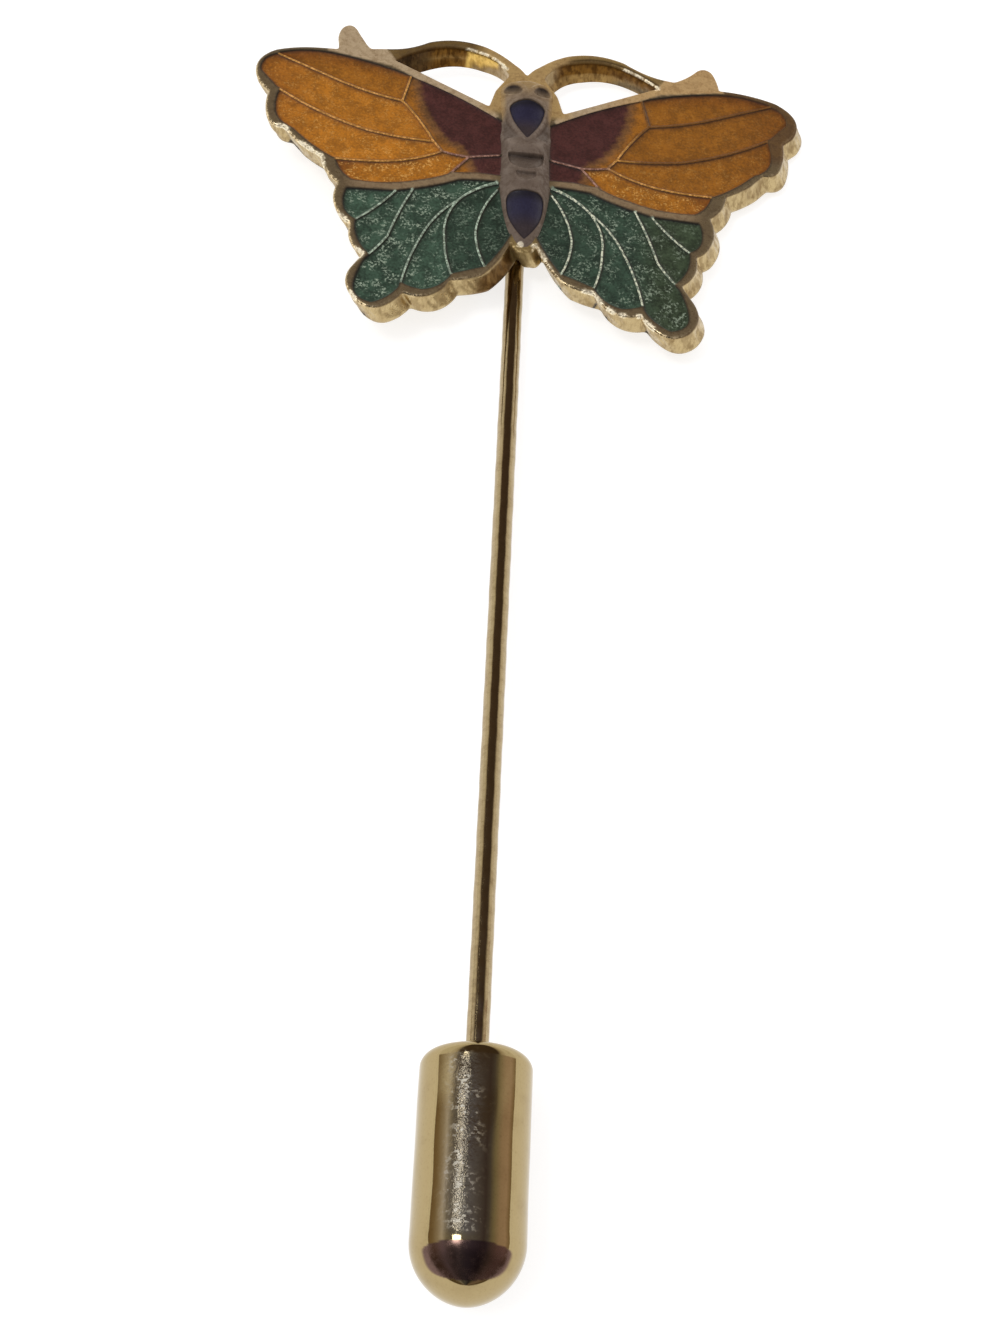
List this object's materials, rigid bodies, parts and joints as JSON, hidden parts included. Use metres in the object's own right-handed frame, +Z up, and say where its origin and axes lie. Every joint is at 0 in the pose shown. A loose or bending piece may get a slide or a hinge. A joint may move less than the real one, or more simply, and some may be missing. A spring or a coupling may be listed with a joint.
{
  "type": "stick pin",
  "caption": "Stick pin with an enamelled butterfly head on a straight wire stem and a bullet-shaped push-on stopper.",
  "frame": {"origin": "Middle of the outline on the surface that the pin lies on, face up.", "axes": "+Z up; +Y from the stopper along the stem towards the antennae; +X to the right wing as seen from above."},
  "size_m": [0.0306, 0.0702, 0.0051],
  "materials": {
    "gilt": "satin gilt with dark tarnish in the hollows",
    "amber_enamel": "glossy translucent enamel",
    "plum_enamel": "glossy translucent enamel",
    "green_enamel": "glossy translucent enamel",
    "blue_enamel": "glossy translucent enamel"
  },
  "bodies": {
    "pin": {"pin": "gilt", "left_amber_top": "amber_enamel", "left_amber_upper": "amber_enamel", "left_amber_middle": "amber_enamel", "left_amber_lower": "amber_enamel", "left_plum": "plum_enamel", "left_plum_small": "plum_enamel", "left_green_1": "green_enamel", "left_green_2": "green_enamel", "left_green_3": "green_enamel", "left_green_4": "green_enamel", "left_green_5": "green_enamel", "left_green_6": "green_enamel", "right_amber_top": "amber_enamel", "right_amber_upper": "amber_enamel", "right_amber_middle": "amber_enamel", "right_amber_lower": "amber_enamel", "right_plum": "plum_enamel", "right_plum_small": "plum_enamel", "right_green_1": "green_enamel", "right_green_2": "green_enamel", "right_green_3": "green_enamel", "right_green_4": "green_enamel", "right_green_5": "green_enamel", "right_green_6": "green_enamel", "thorax_blue": "blue_enamel", "abdomen_blue": "blue_enamel"},
    "stopper": {"stopper": "gilt"}
  },
  "joints": [
    {"name": "stopper_slide", "type": "slide", "parent": "pin", "child": "stopper", "axis": [0, -0.9994, 0.0353], "range_m": [0, 0.02]}
  ]
}
